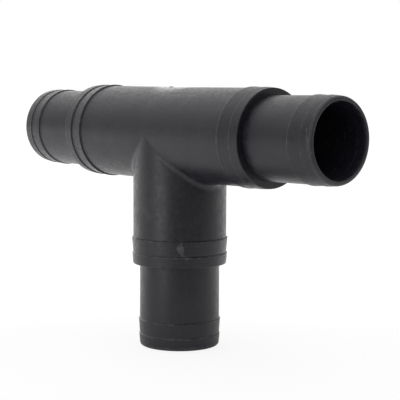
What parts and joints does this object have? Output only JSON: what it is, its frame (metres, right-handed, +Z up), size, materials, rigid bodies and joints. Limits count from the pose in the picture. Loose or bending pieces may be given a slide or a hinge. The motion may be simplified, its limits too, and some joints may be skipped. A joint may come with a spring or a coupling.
{
  "type": "barbed tee connector",
  "caption": "Black moulded hose tee; each leg is a stepped tube with barbs for a wide hose, then a shoulder, then barbs for a narrower hose.",
  "frame": {"origin": "where the axis of the run crosses the axis of the branch", "axes": "+X along the run, +Z up with the branch pointing down along -Z, +Y away from a viewer who has +X on the right"},
  "size_m": [0.173, 0.039, 0.106],
  "materials": {
    "moulding": "black polypropylene, fine-grained satin moulding with faint scuffs"
  },
  "bodies": {
    "root": {"junction": "moulding", "left_tail_38": "moulding", "left_tail_32": "moulding", "right_tail_38": "moulding", "right_tail_32": "moulding", "branch_tail_38": "moulding", "branch_tail_32": "moulding"}
  },
  "joints": []
}
